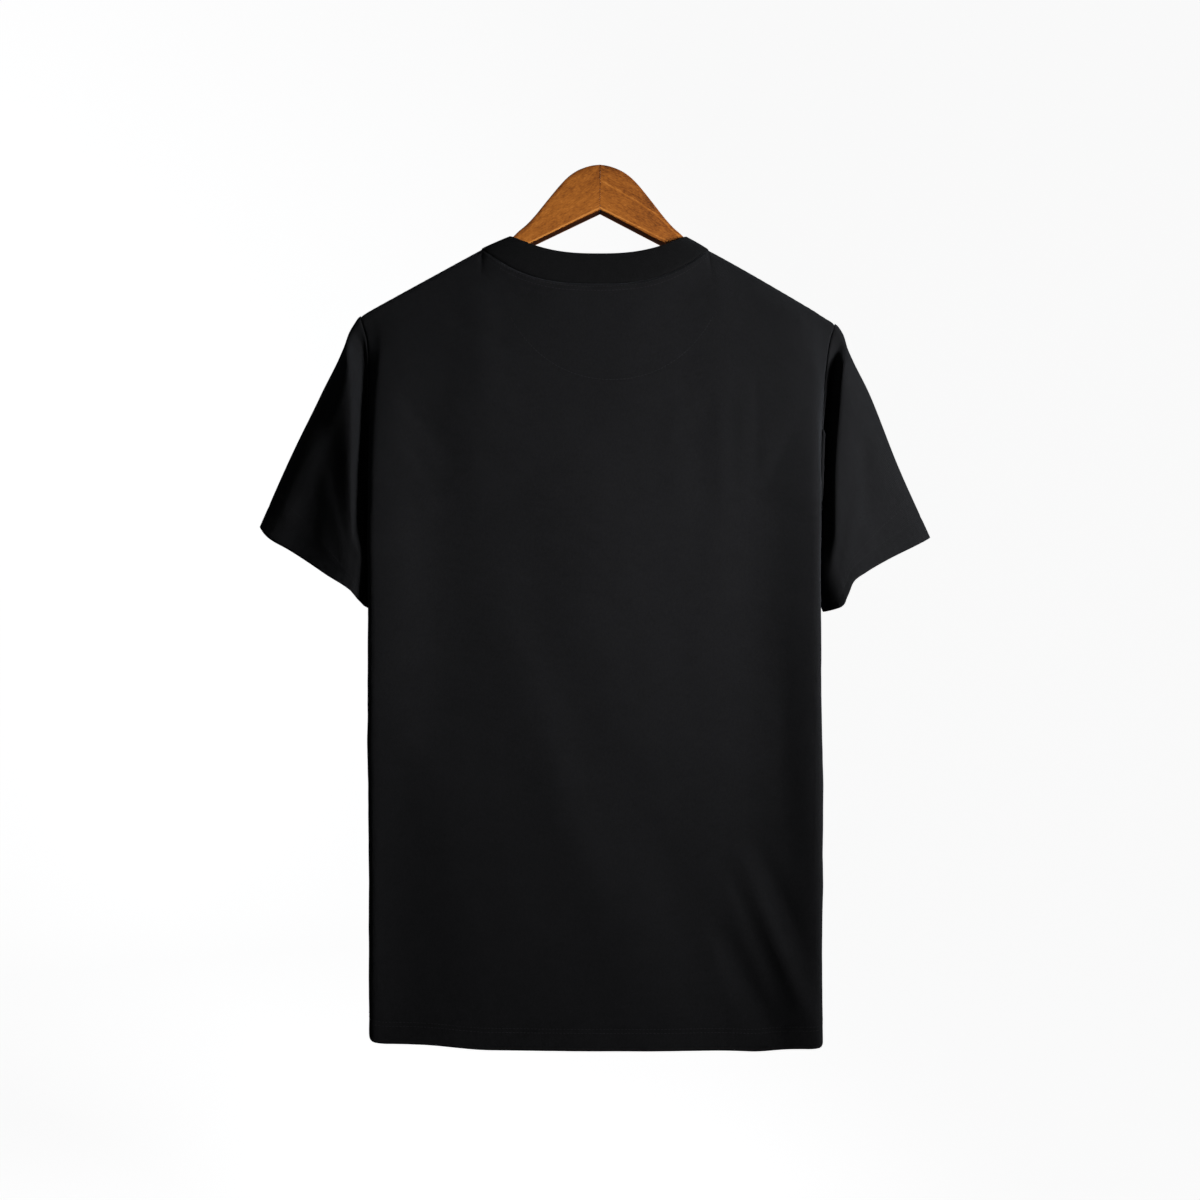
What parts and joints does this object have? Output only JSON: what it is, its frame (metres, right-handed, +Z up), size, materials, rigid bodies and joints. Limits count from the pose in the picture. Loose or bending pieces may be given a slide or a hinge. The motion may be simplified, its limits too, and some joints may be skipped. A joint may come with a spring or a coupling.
{
  "type": "soccer jersey on a hanger",
  "caption": "Plain black crew-neck soccer jersey with short sleeves, hanging softly filled out on a flat wooden hanger.",
  "frame": {"origin": "top of the hanger at its centre, at the mouth of the hole that the hook screws into", "axes": "+Z up, +X towards the wearer's right, +Y out of the chest, so the back of the jersey faces -Y"},
  "size_m": [0.615, 0.1182, 0.8031],
  "materials": {
    "black_knit": "fine matt jersey knit",
    "black_rib": "matt rib knit",
    "varnished_wood": "satin varnish"
  },
  "bodies": {
    "root": {"back_panel": "black_knit", "front_panel": "black_knit", "left_sleeve": "black_knit", "right_sleeve": "black_knit", "half_moon_patch": "black_knit", "neck_band": "black_rib", "hanger_left_arm": "varnished_wood", "hanger_right_arm": "varnished_wood"}
  },
  "joints": []
}
